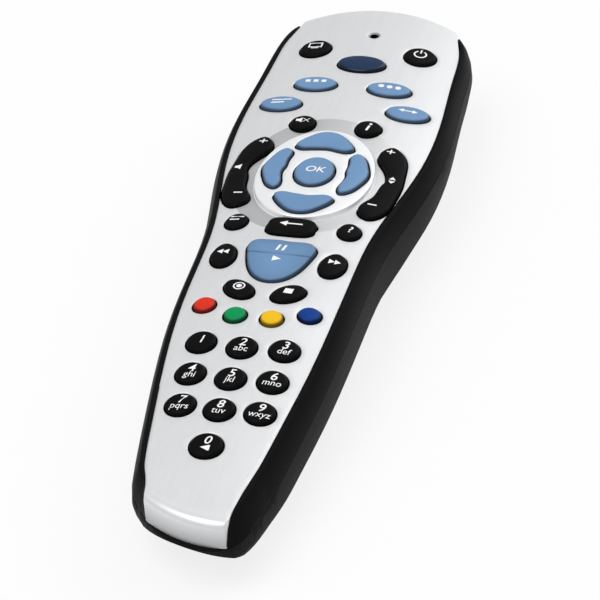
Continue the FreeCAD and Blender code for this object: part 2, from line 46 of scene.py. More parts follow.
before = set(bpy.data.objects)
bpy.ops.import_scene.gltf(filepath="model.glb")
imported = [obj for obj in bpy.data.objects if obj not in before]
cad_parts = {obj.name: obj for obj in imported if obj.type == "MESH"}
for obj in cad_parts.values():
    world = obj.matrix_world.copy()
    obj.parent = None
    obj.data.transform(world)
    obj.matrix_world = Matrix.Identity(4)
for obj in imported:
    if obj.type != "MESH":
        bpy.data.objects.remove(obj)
MM = 0.001
CREASE_ANGLE = 38.0

# Tolerances in metres, the least cosine between faces that lie in one plane, and, in millimetres, the
# distance under which flat points are one and a length that keeps a division away from zero
WELD = 1e-7
HAIR = 1e-6
FLAT_STEP = 2e-5
FLAT_COSINE = 0.9999
POINT_STEP = 1e-5
TINY = 1e-9

# Face and outline, as in the solids
FACE_Z = 28.0
CROWN_RADIUS = 120.0
BEND_START_Y = -28.0
BEND_RADIUS = 190.0
TAIL_SLOPE = math.radians(6.7)
HALF_OUTLINE = (
    [(0.0, 107.7), (14.5, 105.5), (23.6, 101.9), (26.7, 96.5), (28.6, 80.0), (29.8, 53.0)]
    + [(28.5, 28.5), (25.6, 11.0), (23.4, -4.0), (22.6, -22.0), (21.4, -50.0)]
    + [(17.9, -80.0), (14.9, -96.5), (11.3, -103.8), (5.0, -107.2), (0.0, -107.9)]
)
OUTLINE_COUNT = 420
ROW_SHARE = 0.866
RAIL_WIDTH = 3.6
PLATE_THICKNESS = 1.5
PLATE_GAP = 0.12
HEAD_TIP_Y = 108.0
HEAD_CORNER = (21.7, 102.2)
HEAD_RUN_Y = 95.0
TAIL_RUN = 9.0
TAIL_HALF = 10.1
TAIL_Y = -106.9
TAIL_RADIUS = 24.3
TAIL_CENTRE_Y = TAIL_Y + TAIL_RADIUS
TAIL_ROUND = 2.2
TAIL_ROUND_DEPTH = TAIL_ROUND * (1 - math.sin(TAIL_SLOPE))
SKIRT_Z = 13.4
SKIRT_DEPTH = 1.5
SHARP_DEPTH = 0.6
GROOVE_DEPTH = 0.1
GROOVE_WIDTH = 0.7
GROOVE_OFFSET = 0.5

# Slant of the tail, whose left corner lies nearer the head
SLANT = 0.3
SLANT_MIDDLE_X = 4.0
SLANT_START_Y = -90.0
SLANT_BLEND = 14.0

# Disc and moat round the cursor keys, and the light's hole
RING_Y = 22.3
DISC = (15.2, 20.6)
DISC_RIM = 1.012
DISC_HEIGHT = 0.5
DISC_ROUND = 0.4
MOAT = (21.0, 27.0)
LIGHT_HOLE_Y = 94.2
LIGHT_HOLE_RADIUS = 1.2
LIGHT_BEVEL = 0.5
LIGHT_CHAMFER = 0.6

# Keys
CAP_BASE_Z = 20.8
CAP_GAP = 0.22
CAP_INSET = 0.16
PILL_TOP_Z = 19.9
PLAY_CREASE_Y = -15.0
SIGN_LIFT = 0.02
SIGN_THICKNESS = 0.05
FIGURE_SIZE = 3.5
FIGURE_WEIGHT = 0.03
FIGURE_X = 0.1
FIGURE_Y = -0.9
HIGH_FIGURE_Y = -0.1
LETTER_SIZE = 2.5
LETTER_Y = -1.85

# Battery contacts and the cover's grip
CONTACT_THICKNESS = 0.4
SPRING_LENGTH = 4.3
CELL_PITCH = 14.9
CELL_Z = 8.95
GRIP_Y = -14.0
GRIP_CENTRE_Z = -10.9

# Stage, in metres: lamps that face the middle of the remote, and the camera solved from the photograph
KEY_LAMP = (0.55, 0.85, 0.85)
FILL_LAMP = (-0.35, -0.45, 1.15)
BACKDROP_SHARE = 0.82
CAMERA_PLACE = (0.14402, -0.51817, 0.38424)
CAMERA_RIGHT = (0.97096, 0.23459, -0.04695)
CAMERA_UP = (-0.09843, 0.57057, 0.81533)
CAMERA_BACK = (0.21805, -0.78703, 0.57709)

# Materials: scale of slow cloudiness, drop in millimetres over which painted shade darkens a key's side,
# and where, in metres, painted shade fades in over the moat's hollow and the band at the tail
CLOUD = 55.0
PAINTED_SIDE_SHADE = (0.12, 0.5)
PAINTED_MOAT_SHADE_X = (0.016, -0.006)
PAINTED_BAND_SHADE_Z = (0.0190, 0.0130)
PAINTED_BAND_SHADE_START_Y = -0.095
WINDOW_RED = ((0.012, 0.003, 0.006, 1.0), (0.03, 0.005, 0.012, 1.0))
FLOOR_GREY = ((0.86, 0.86, 0.86, 1.0), (0.88, 0.88, 0.88, 1.0))

KEYS = sorted(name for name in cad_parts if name.startswith("key_"))
PALE_BLUE_ENDS = "upper_left upper_right lower_left lower_right select up down left right play".split()
PALE_BLUE = ["key_" + end for end in PALE_BLUE_ENDS]
COLOUR_KEYS = {"key_red": "red", "key_green": "green", "key_yellow": "yellow", "key_blue": "blue"}


def sum_method(operation, turned=False):
    """Method of a wire that makes the node of a sum."""

    def method(self, other):
        values = (other, self) if turned else (self, other)
        return self.nodes.node("ShaderNodeMath", {"operation": operation}, dict(enumerate(values)))

    return method


class Wire:
    """A value that leaves a node, ready for sums."""

    def __init__(self, nodes, socket):
        self.nodes = nodes
        self.socket = socket

    __add__, __radd__ = sum_method("ADD"), sum_method("ADD", True)
    __sub__, __rsub__ = sum_method("SUBTRACT"), sum_method("SUBTRACT", True)
    __mul__, __rmul__ = sum_method("MULTIPLY"), sum_method("MULTIPLY", True)
    __gt__, __lt__ = sum_method("GREATER_THAN"), sum_method("LESS_THAN")


class Nodes:
    """A node tree that grows by one method."""

    def __init__(self, tree):
        self.tree = tree

    def join(self, socket, value):
        """Gives a socket a wire or a plain value."""
        if isinstance(value, Wire):
            self.tree.links.new(value.socket, socket)
        else:
            socket.default_value = value

    def node(self, kind, settings=None, inputs=None, output=0):
        """Adds a node, sets it up and returns one of its outputs."""
        made = self.tree.nodes.new(kind)
        for key, value in (settings or {}).items():
            setattr(made, key, value)
        for key, value in (inputs or {}).items():
            self.join(made.inputs[key], value)
        return Wire(self, made.outputs[output]) if made.outputs else None


class Paint(Nodes):
    """One material, with a method for each thing its surface does."""

    def __init__(self, name, **constants):
        self.material = bpy.data.materials.new(name)
        self.material.use_nodes = True
        super().__init__(self.material.node_tree)
        self.shader = next(n for n in self.tree.nodes if n.type == "BSDF_PRINCIPLED")
        for socket, value in constants.items():
            self.shader.inputs[socket.replace("_", " ")].default_value = value

    def here(self):
        """Place on the object in metres."""
        return self.node("ShaderNodeTexCoord", output="Object")

    def along(self, axis):
        """One coordinate of the place, in metres."""
        return self.node("ShaderNodeSeparateXYZ", None, {"Vector": self.here()}, output=axis)

    def ramp(self, value, start, end):
        """Value between 0 at the start and 1 at the end."""
        return self.node("ShaderNodeMapRange", None, {"Value": value, "From Min": start, "From Max": end})

    def noise(self, scale, detail=2.0, stretch=(1.0, 1.0, 1.0)):
        """Cloudy value between 0 and 1, stretched along the axes."""
        place = self.node("ShaderNodeMapping", None, {"Vector": self.here(), "Scale": stretch})
        return self.node("ShaderNodeTexNoise", None, {"Vector": place, "Scale": scale, "Detail": detail})

    def reach(self, centre_y, half_x, half_y):
        """Distance from a centre on the middle line, as a share of an ellipse's half widths."""
        moved_here = {"Vector": self.here(), "Location": (0.0, -centre_y * MM, 0.0)}
        scale = (1 / half_x / MM, 1 / half_y / MM, 0.0)
        spread = {0: self.node("ShaderNodeMapping", None, moved_here), 1: scale}
        from_centre = self.node("ShaderNodeVectorMath", {"operation": "MULTIPLY"}, spread)
        return self.node("ShaderNodeVectorMath", {"operation": "LENGTH"}, {0: from_centre}, output="Value")

    def mix(self, share, first, second):
        """Blend of two colours."""
        return self.node("ShaderNodeMix", {"data_type": "RGBA"}, {0: share, 6: first, 7: second}, output=2)

    def feed(self, socket, wire):
        """Joins a wire to the shader."""
        self.join(self.shader.inputs[socket], wire)

    def bump(self, height, strength, distance):
        """Small relief in metres."""
        sizes = {"Height": height, "Strength": strength, "Distance": distance}
        self.feed("Normal", self.node("ShaderNodeBump", None, sizes))


def shade(colour, factor):
    """A colour made lighter or darker, with full alpha."""
    return (*(min(channel * factor, 1.0) for channel in colour[:3]), 1.0)


def deep_side(paint, top, colour):
    """Surface colour of a key: its top colour, darkened low on its sides as painted shade."""
    drop = paint.node("ShaderNodeAttribute", {"attribute_name": "drop"}, output="Fac")
    return paint.mix(paint.ramp(drop, *PAINTED_SIDE_SHADE), top, shade(colour, 0.22))


def moulded(name, colour, roughness, grain=0.00004, scale=2600.0, spread=0.12, shine=0.5, key=False):
    """Moulded plastic with a fine texture and slight cloudiness."""
    paint = Paint(name, Roughness=roughness, Specular_IOR_Level=shine)
    cloud = paint.noise(CLOUD, 3.0)
    top = paint.mix(cloud, shade(colour, 1 - spread), shade(colour, 1 + spread))
    # With key set, painted shade darkens the low sides of the cap
    paint.feed("Base Color", deep_side(paint, top, colour) if key else top)
    fine = paint.noise(scale)
    paint.feed("Roughness", fine * 0.16 + (roughness - 0.08))
    paint.bump(fine, 0.5, grain)
    return paint.material


def satin_silver(name, colour):
    """Silver paint with metal flake, faint brushing along the remote, and painted shade and light in places.
    """
    paint = Paint(name, Metallic=0.35, Roughness=0.4, Coat_Weight=0.05, Coat_Roughness=0.3)
    flake = paint.noise(3800.0, 1.0)
    brushed = paint.noise(900.0, 3.0, (1.0, 0.06, 1.0))
    tone = flake * 0.35 + brushed * 0.4 + paint.noise(16.0) * 0.25
    silver = paint.mix(tone, shade(colour, 0.9), shade(colour, 1.06))
    disc, moat = paint.reach(RING_Y, *DISC), paint.reach(RING_Y, *MOAT)
    hole = paint.reach(LIGHT_HOLE_Y, *(LIGHT_HOLE_RADIUS + LIGHT_BEVEL,) * 2)
    # Painted shade: the moat's hollow is darkened towards the left, where its slope turns from the light
    hollow = (disc > DISC_RIM) * (moat < 1.0)
    left = paint.ramp(paint.along("X"), *PAINTED_MOAT_SHADE_X)
    silver = paint.mix(hollow * left * 0.9, silver, shade(colour, 0.6))
    # Painted light: the raised disc's top is painted lighter than the plate
    silver = paint.mix((disc < DISC_RIM) * 0.9, silver, shade(colour, 1.22))
    # Painted shade: the bevel round the light's hole is darkened
    silver = paint.mix((hole < 1.0) * 0.8, silver, shade(colour, 0.25))
    # Painted shade: the band at the tail is darkened towards its lower edge
    fall = paint.ramp(paint.along("Z"), *PAINTED_BAND_SHADE_Z)
    at_tail = paint.along("Y") < PAINTED_BAND_SHADE_START_Y
    paint.feed("Base Color", paint.mix(fall * at_tail, silver, shade(colour, 0.5)))
    paint.feed("Roughness", brushed * 0.14 + 0.34)
    paint.bump(flake, 0.12, 0.00002)
    return paint.material


def white_print(name, colour):
    """Printed white ink, slightly uneven."""
    paint = Paint(name, Roughness=0.5)
    uneven = paint.noise(1500.0)
    paint.feed("Base Color", paint.mix(uneven, shade(colour, 0.93), shade(colour, 1.0)))
    paint.bump(uneven, 0.2, 0.00001)
    return paint.material


def play_plastic(name, colour):
    """Blue plastic of the play key, ribbed on the half nearer the head."""
    paint = Paint(name, Roughness=0.42, Specular_IOR_Level=0.35)
    top = paint.mix(paint.noise(CLOUD, 3.0), shade(colour, 0.93), shade(colour, 1.07))
    # Painted shade darkens the low sides of the cap
    paint.feed("Base Color", deep_side(paint, top, colour))
    bands = {"wave_type": "BANDS", "bands_direction": "Y"}
    ribs = paint.node("ShaderNodeTexWave", bands, {"Vector": paint.here(), "Scale": 700.0}, output="Fac")
    upper = paint.along("Y") > (PLAY_CREASE_Y - 0.1) * MM
    paint.bump(ribs * upper + paint.noise(2600.0) * 0.3, 0.35, 0.00008)
    return paint.material


def bare_metal(name, colour, roughness):
    """Plated or drawn metal with fine streaks."""
    paint = Paint(name, Metallic=1.0, Roughness=roughness)
    streak = paint.noise(1400.0, 3.0, (1.0, 1.0, 0.08))
    paint.feed("Base Color", paint.mix(streak, shade(colour, 0.82), shade(colour, 1.06)))
    paint.feed("Roughness", streak * 0.2 + (roughness - 0.1))
    paint.bump(streak, 0.25, 0.00002)
    return paint.material


def laminate(name, colour):
    """Green circuit board with copper tracks under the lacquer."""
    paint = Paint(name, Roughness=0.35, Coat_Weight=0.4, Coat_Roughness=0.15)
    pattern = {"Scale": 220.0, "Mortar Size": 0.06, "Brick Width": 0.9, "Row Height": 0.4}
    pattern["Vector"] = paint.here()
    tracks = paint.node("ShaderNodeTexBrick", {"offset": 0.5}, pattern, output="Fac")
    paint.feed("Base Color", paint.mix(tracks, shade(colour, 0.8), shade(colour, 1.7)))
    paint.bump(tracks + paint.noise(900.0) * 0.2, 0.3, 0.00003)
    return paint.material


def window_plastic(name):
    """Very dark red plastic that lets infrared through."""
    paint = Paint(name, Roughness=0.22, Specular_IOR_Level=0.2)
    paint.feed("Base Color", paint.mix(paint.noise(120.0), *WINDOW_RED))
    return paint.material


def lens(name, colour):
    """Clear cast resin, seen against the dark inside."""
    paint = Paint(name, Roughness=0.08, Coat_Weight=0.6, Coat_Roughness=0.03)
    paint.feed("Base Color", paint.mix(paint.noise(500.0), shade(colour, 0.75), shade(colour, 1.1)))
    return paint.material


def face_z(y):
    """Height of the middle of the face."""
    y = np.asarray(y, float)
    bend_end = BEND_START_Y - BEND_RADIUS * math.sin(TAIL_SLOPE)
    along = np.clip(BEND_START_Y - y, 0.0, BEND_START_Y - bend_end)
    bend = FACE_Z - BEND_RADIUS + np.sqrt(BEND_RADIUS**2 - along**2)
    return bend - np.clip(bend_end - y, 0.0, None) * math.tan(TAIL_SLOPE)


def surface_z(x, y):
    """Height of the crowned face."""
    x = np.asarray(x, float)
    return face_z(y) - (CROWN_RADIUS - np.sqrt(CROWN_RADIUS**2 - x**2))


def lean(x, y):
    """How far the tail's slant draws a place towards the head: the left corner up, the right one down."""
    share = np.clip((SLANT_START_Y - np.asarray(y, float)) / SLANT_BLEND, 0.0, 1.0)
    return SLANT * (SLANT_MIDDLE_X - np.asarray(x, float)) * share * share * (3 - 2 * share)


def even(points, count, closed=True):
    """Points at even distances along a line through points."""
    points = np.asarray(points, float)
    line = np.vstack([points, points[:1]]) if closed else points
    length = np.concatenate([[0.0], np.cumsum(np.linalg.norm(np.diff(line, axis=0), axis=1))])
    stops = np.linspace(0.0, length[-1], count, endpoint=not closed)
    return np.stack([np.interp(stops, length, line[:, axis]) for axis in range(line.shape[1])], axis=1)


def closed_curve(points, count):
    """Even points on the smooth closed curve through points."""
    points = np.asarray(points, float)
    number = len(points)
    span = np.linalg.norm(np.roll(points, -1, 0) - points, axis=1)
    matrix = np.zeros((number, number))
    right = np.zeros_like(points)
    for i in range(number):
        before, after = i - 1, (i + 1) % number
        matrix[i, before] += span[before]
        matrix[i, i] += 2 * (span[before] + span[i])
        matrix[i, after] += span[i]
        slope_out = (points[after] - points[i]) / span[i]
        slope_in = (points[i] - points[before]) / span[before]
        right[i] = 6 * (slope_out - slope_in)
    bend = np.linalg.solve(matrix, right)
    parts = []
    for i in range(number):
        after = (i + 1) % number
        h = span[i]
        t = np.linspace(0.0, h, 30, endpoint=False)[:, None]
        back = h - t
        curve = bend[i] * back**3 / (6 * h) + bend[after] * t**3 / (6 * h)
        curve += (points[i] / h - bend[i] * h / 6) * back + (points[after] / h - bend[after] * h / 6) * t
        parts.append(curve)
    return even(np.concatenate(parts), count)


def runs_left(loop):
    """Whether a closed flat loop runs anticlockwise."""
    return np.sum(loop[:, 0] * np.roll(loop[:, 1], -1) - np.roll(loop[:, 0], -1) * loop[:, 1]) > 0


def turned_left(loop):
    """The same loop, running anticlockwise."""
    loop = np.asarray(loop, float)
    return loop if runs_left(loop) else loop[::-1]


def moved(loop, distance):
    """A closed flat loop moved outwards along its normals."""
    along = np.roll(loop, -1, 0) - np.roll(loop, 1, 0)
    normal = np.stack([along[:, 1], -along[:, 0]], axis=1)
    normal /= np.linalg.norm(normal, axis=1)[:, None]
    return loop + normal * distance * (1 if runs_left(loop) else -1)


def respaced(loop, spacing):
    """The same closed loop with points at about this spacing."""
    return even(loop, int(np.linalg.norm(np.roll(loop, -1, 0) - loop, axis=1).sum() / spacing))


def arc(radius, centre_y, bow, count):
    """Arc about a point on the middle line, from right to left. A negative radius bends it to the tail."""
    angles = np.linspace(bow, -bow, count)
    return np.stack([abs(radius) * np.sin(angles), centre_y + radius * np.cos(angles)], axis=1)


def plate_loop():
    """Outline of the face plate from above, closed by the arcs of its head and tail."""
    tail_y = TAIL_CENTRE_Y - math.sqrt(TAIL_RADIUS**2 - TAIL_HALF**2)
    points = HALF_OUTLINE + [(-x, y) for x, y in HALF_OUTLINE[-2:0:-1]]
    inner = moved(closed_curve(points, OUTLINE_COUNT), -RAIL_WIDTH)
    side = [tuple(p) for p in inner if p[0] > 0 and tail_y + TAIL_RUN < p[1] < HEAD_RUN_Y]
    right = np.array([(TAIL_HALF, tail_y)] + sorted(side, key=lambda p: p[1]) + [HEAD_CORNER])
    half, rise = HEAD_CORNER[0], HEAD_TIP_Y - HEAD_CORNER[1]
    radius = (half**2 + rise**2) / (2 * rise)
    head = arc(radius, HEAD_TIP_Y - radius, math.asin(half / radius), 90)
    tail = arc(-TAIL_RADIUS, TAIL_CENTRE_Y, math.asin(TAIL_HALF / TAIL_RADIUS), 40)[::-1]
    return even(np.vstack([right, head[1:-1], right[::-1] * (-1, 1), tail[1:-1]]), 620)


def from_tail(points):
    """How far inside the arc of the plate's tail points lie."""
    return TAIL_RADIUS - np.hypot(points[:, 0], points[:, 1] - TAIL_CENTRE_Y)


def ellipse(centre_y, half_x, half_y, growth=0.0, count=180):
    """Ellipse on the middle line, grown along lines from its centre."""
    points = []
    for step in range(count):
        angle = 2 * math.pi * step / count
        x, y = half_x * math.cos(angle), half_y * math.sin(angle)
        reach = 1 + growth / math.hypot(x, y)
        points.append((x * reach, centre_y + y * reach))
    return np.array(points)


def fill(face_loop, holes=(), lines=(), spacing=1.2, clear=0.45):
    """Flat triangles inside a loop and outside its holes. Lines become edges, points fill the rest."""
    points, edges, faces = [], [], []

    def add(loop, closed=True, face=False):
        first = len(points)
        points.extend(Vector((float(p[0]), float(p[1]))) for p in loop)
        ids = list(range(first, first + len(loop)))
        edges.extend(zip(ids, ids[1:]))
        if closed:
            edges.append((ids[-1], ids[0]))
        if face:
            faces.append(ids)

    add(turned_left(face_loop), face=True)
    for hole in holes:
        add(turned_left(hole), face=True)
    for line, closed in lines:
        add(line, closed)
    tree = kdtree.KDTree(len(points))
    for i, point in enumerate(points):
        tree.insert((point.x, point.y, 0.0), i)
    tree.balance()
    low, high = face_loop.min(axis=0), face_loop.max(axis=0)
    rows = int((high[1] - low[1]) / (spacing * ROW_SHARE)) + 1
    for row in range(rows):
        y = low[1] + (row + 0.5) * spacing * ROW_SHARE
        x = low[0] + spacing * (0.25 if row % 2 else 0.75)
        while x < high[0]:
            if tree.find((x, y, 0.0))[2] > spacing * clear:
                points.append(Vector((x, y)))
            x += spacing
    found = delaunay_2d_cdt(points, edges, faces, 0, POINT_STEP, True)
    corners = np.array([(v.x, v.y) for v in found[0]])
    kept = [f for f, ids in zip(found[2], found[5]) if 0 in ids and max(ids) == 0]
    return corners, kept


def nearest(points, loops):
    """Distance from each point to the nearest of the loops' points."""
    tree = kdtree.KDTree(sum(len(loop) for loop in loops))
    number = 0
    for loop in loops:
        for point in loop:
            tree.insert((point[0], point[1], 0.0), number)
            number += 1
    tree.balance()
    return np.array([tree.find((x, y, 0.0))[2] for x, y in points])


def rounded(distance, radius):
    """How far a rounded edge has dropped at a distance inside the edge."""
    inside = np.clip(radius - distance, 0.0, radius)
    return radius - np.sqrt(radius**2 - inside**2)


def slab(name, corners, triangles, top, bottom, painted=None):
    """Closed piece between two heights over flat triangles. Unpainted walls take the second finish."""
    painted = np.ones(len(corners), bool) if painted is None else painted
    mesh = bmesh.new()
    layers = []
    for heights in (top, bottom):
        layers.append([mesh.verts.new((x * MM, y * MM, z * MM)) for (x, y), z in zip(corners, heights)])
    upper, lower = layers
    sides = {}
    for a, b, c in triangles:
        if np.cross(corners[b] - corners[a], corners[c] - corners[a]) < 0:
            a, b, c = c, b, a
        mesh.faces.new((upper[a], upper[b], upper[c]))
        under = mesh.faces.new((lower[c], lower[b], lower[a]))
        under.material_index = 0 if painted[a] else 1
        for start, end in ((a, b), (b, c), (c, a)):
            if (end, start) in sides:
                del sides[(end, start)]
            else:
                sides[(start, end)] = True
    for start, end in sides:
        wall = mesh.faces.new((lower[start], lower[end], upper[end], upper[start]))
        wall.material_index = 0 if painted[start] else 1
    loose = [v for v in mesh.verts if not v.link_faces]
    bmesh.ops.delete(mesh, geom=loose, context="VERTS")
    return finish_mesh(name, mesh)


def finish_mesh(name, mesh, angle=CREASE_ANGLE):
    """Turns built geometry into an object with smooth faces and sharp corners."""
    data = bpy.data.meshes.new(name)
    mesh.to_mesh(data)
    mesh.free()
    data.shade_smooth()
    data.set_sharp_from_angle(angle=math.radians(angle))
    made = bpy.data.objects.new(name, data)
    bpy.context.scene.collection.objects.link(made)
    return made


def clear_of_plate(mesh):
    """Keeps the rails' inner walls outside the face plate beside its rounded tail."""
    corner_y, flare, inner_x = -104.7, 0.155, 8.0
    end_y, start_y = -105.0, -94.5
    for corner in mesh.verts:
        x, y, z = corner.co / MM
        edge = TAIL_HALF + PLATE_GAP + flare * (y - corner_y)
        if end_y < y < start_y and z > SKIRT_Z and inner_x < abs(x) < edge:
            corner.co.x = math.copysign(edge, x) * MM


def tail_faces(mesh):
    """Faces that the tail's slant reaches."""
    return [face for face in mesh.faces if min(corner.co.y for corner in face.verts) < SLANT_START_Y * MM]


def solid_mesh(node):
    """A solid's triangles, joined up, as geometry to work on."""
    mesh = bmesh.new()
    mesh.from_mesh(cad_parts[node].data)
    bmesh.ops.remove_doubles(mesh, verts=mesh.verts, dist=WELD)
    return mesh


def merged(node, name, angle=CREASE_ANGLE):
    """Joined-up copy of a solid's loose triangles, smooth where it curves."""
    mesh = solid_mesh(node)
    if node == "front_case":
        clear_of_plate(mesh)
    cuts = [((0.0, y * MM, 0.0), (0.0, 1.0, 0.0)) for y in range(-106, -89, 2)]
    cuts += [((x * MM, 0.0, 0.0), (1.0, 0.0, 0.0)) for x in range(-14, 15, 2)]
    for place, way in cuts:
        faces = tail_faces(mesh)
        near = dict.fromkeys(part for face in faces for part in (face, *face.edges, *face.verts))
        bmesh.ops.bisect_plane(mesh, geom=list(near), dist=WELD, plane_co=place, plane_no=way)
    for corner in mesh.verts:
        corner.co.y += float(lean(corner.co.x / MM, corner.co.y / MM)) * MM
    return finish_mesh(name, mesh, angle)


def dress(piece, finishes, body, slot, *nodes):
    """Gives a piece its finishes, its body and the solids it stands for."""
    order = [polygon.material_index for polygon in piece.data.polygons]
    piece.data.materials.clear()
    for finish in finishes if isinstance(finishes, tuple) else (finishes,):
        piece.data.materials.append(finish)
    top = len(piece.data.materials) - 1
    piece.data.polygons.foreach_set("material_index", [min(index, top) for index in order])
    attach(piece, body)
    if nodes:
        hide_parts(*nodes)


def cap_loop(name):
    """Plan outline of a key's cap and the plane of its top, read from its solid."""
    mesh = solid_mesh(name)
    mesh.normal_update()
    top = max(mesh.faces, key=lambda f: f.calc_center_median().z if f.normal.z > 0.9 else -1.0)
    normal = top.normal.copy()
    level = normal.dot(top.calc_center_median())
    flat = [f for f in mesh.faces if f.normal.dot(normal) > FLAT_COSINE]
    flat = dict.fromkeys(f for f in flat if abs(normal.dot(f.calc_center_median()) - level) < FLAT_STEP)
    after = {}
    for face in flat:
        for loop in face.loops:
            others = [f for f in loop.edge.link_faces if f is not face]
            if not any(f in flat for f in others):
                after[loop.vert] = loop.link_loop_next.vert
    start = next(iter(after))
    points, here = [], start
    while True:
        points.append((here.co.x / MM, here.co.y / MM))
        here = after[here]
        if here is start or len(points) > len(after):
            break
    mesh.free()
    slope = (-normal.x / normal.z, -normal.y / normal.z, level / normal.z / MM)
    return np.array(points), slope


def stems(name):
    """Stems and pills under a key's cap, read from its solid and closed again."""
    mesh = solid_mesh(name)
    base, joint = CAP_BASE_Z * MM, PILL_TOP_Z * MM
    spare = []
    for face in mesh.faces:
        heights = [corner.co.z for corner in face.verts]
        at_joint = max(abs(height - joint) for height in heights) < HAIR
        if max(heights) > base + HAIR or min(heights) > base - HAIR or at_joint:
            spare.append(face)
    bmesh.ops.delete(mesh, geom=spare, context="FACES")
    rims = [edge for edge in mesh.edges if len(edge.link_faces) == 1]
    bmesh.ops.holes_fill(mesh, edges=rims, sides=0)
    for face in mesh.faces:
        face.material_index = 1 if max(corner.co.z for corner in face.verts) < joint + HAIR else 0
    return mesh


def joined(piece, mesh):
    """Adds more geometry to a piece, in the same place."""
    mesh.from_mesh(piece.data)
    mesh.to_mesh(piece.data)
    mesh.free()
    piece.data.update()


def cap_heights(points, loop, slope, settings, name):
    """Height of a cap's top at points: a plane with a rounded edge and a slight dome."""
    distance = nearest(points, [loop])
    plane = slope[0] * points[:, 0] + slope[1] * points[:, 1] + slope[2]
    half = max(distance.max(), 1.5)
    dome = settings.dome * (1 - np.clip(1 - distance / half, 0.0, 1.0) ** 2)
    if name == "key_play":
        crease = PLAY_CREASE_Y - 0.006 * points[:, 0] ** 2
        dome = dome * 0.5 - 0.22 * np.exp(-(((points[:, 1] - crease) / 0.22) ** 2))
    return plane - rounded(distance, settings.edge_round) + dome - settings.dome


def mark_drop(cap, slope):
    """Keeps on each corner how far, in millimetres, it lies under the plane of the cap's top."""
    drop = cap.data.attributes.new("drop", "FLOAT", "POINT")
    for corner, kept in zip(cap.data.vertices, drop.data):
        x, y, z = corner.co / MM
        kept.value = slope[0] * x + slope[1] * y + slope[2] - z


class Recipe(Nodes):
    """A Geometry Nodes tree with named sizes."""

    def __init__(self, name, sizes):
        super().__init__(bpy.data.node_groups.new(name, "GeometryNodeTree"))
        sockets = self.tree.interface
        sockets.new_socket("Geometry", in_out="OUTPUT", socket_type="NodeSocketGeometry")
        self.sizes = {}
        for label, value in sizes.items():
            kind = "NodeSocketInt" if isinstance(value, int) else "NodeSocketFloat"
            size = sockets.new_socket(label, in_out="INPUT", socket_type=kind)
            size.default_value = value
            self.sizes[label] = size.identifier
        self.entry = self.tree.nodes.new("NodeGroupInput")

    def size(self, label):
        """One of the named sizes."""
        return Wire(self, self.entry.outputs[label])

    def placed(self, last, place, turn):
        """The geometry turned and moved to its place."""
        moves = {"Geometry": last, "Translation": place, "Rotation": turn}
        return self.node("GeometryNodeTransform", None, moves)

    def grow(self, last, material, **values):
        """Runs the tree and gives its result as loose geometry."""
        plain = self.node("GeometryNodeRealizeInstances", None, {"Geometry": last})
        coated = self.node("GeometryNodeSetMaterial", None, {"Geometry": plain, "Material": material})
        self.node("NodeGroupOutput", None, {"Geometry": coated})
        holder = bpy.data.objects.new("holder", bpy.data.meshes.new("holder"))
        bpy.context.scene.collection.objects.link(holder)
        modifier = holder.modifiers.new("recipe", "NODES")
        modifier.node_group = self.tree
        for label, value in values.items():
            modifier[self.sizes[label]] = value
        holder.update_tag()
        bpy.context.view_layer.update()
        data = bpy.data.meshes.new_from_object(holder.evaluated_get(bpy.context.evaluated_depsgraph_get()))
        mesh = bmesh.new()
        mesh.from_mesh(data)
        bpy.data.objects.remove(holder)
        bpy.data.meshes.remove(data)
        if not mesh.faces:
            raise RuntimeError("nothing grew from " + self.tree.name)
        return mesh


def coil(metal, place, towards_head, length):
    """Conical battery spring of one wire, wound about Y from a plate."""
    sizes = {"Turns": 5.0, "Wide end": 0.0027, "Narrow end": 0.0019, "Length": 0.0043, "Wire": 0.0003}
    recipe = Recipe("battery spring", sizes)
    spiral = {"Resolution": 28, "Rotations": recipe.size("Turns"), "Height": recipe.size("Length")}
    spiral |= {"Start Radius": recipe.size("Wide end"), "End Radius": recipe.size("Narrow end")}
    wound = recipe.node("GeometryNodeCurveSpiral", None, spiral)
    section = {"Resolution": 8, "Radius": recipe.size("Wire")}
    wire = recipe.node("GeometryNodeCurvePrimitiveCircle", None, section)
    sweep = {"Curve": wound, "Profile Curve": wire, "Fill Caps": True}
    tube = recipe.node("GeometryNodeCurveToMesh", None, sweep)
    turn = (math.radians(-90 if towards_head else 90), 0.0, 0.0)
    return recipe.grow(recipe.placed(tube, place, turn), metal, Length=length)


def grip(plastic, ribs):
    """Ribs across the hollow of the cover's grip."""
    sizes = {"Ribs": 6, "Radius": 0.012, "Rib radius": 0.00035, "Rib length": 0.0146}
    recipe = Recipe("grip ribs", sizes)
    sweep = {"Start Angle": math.radians(75), "Sweep Angle": math.radians(30)}
    sweep |= {"Resolution": recipe.size("Ribs"), "Radius": recipe.size("Radius")}
    hollow = recipe.node("GeometryNodeCurveArc", None, sweep)
    rod = {"Vertices": 12, "Radius": recipe.size("Rib radius"), "Depth": recipe.size("Rib length")}
    rib = recipe.node("GeometryNodeMeshCylinder", None, rod)
    row = recipe.node("GeometryNodeInstanceOnPoints", None, {"Points": hollow, "Instance": rib})
    place = (0.0, GRIP_Y * MM, GRIP_CENTRE_Z * MM)
    turn = (math.radians(90), 0.0, math.radians(90))
    return recipe.grow(recipe.placed(row, place, turn), plastic, Ribs=ribs)


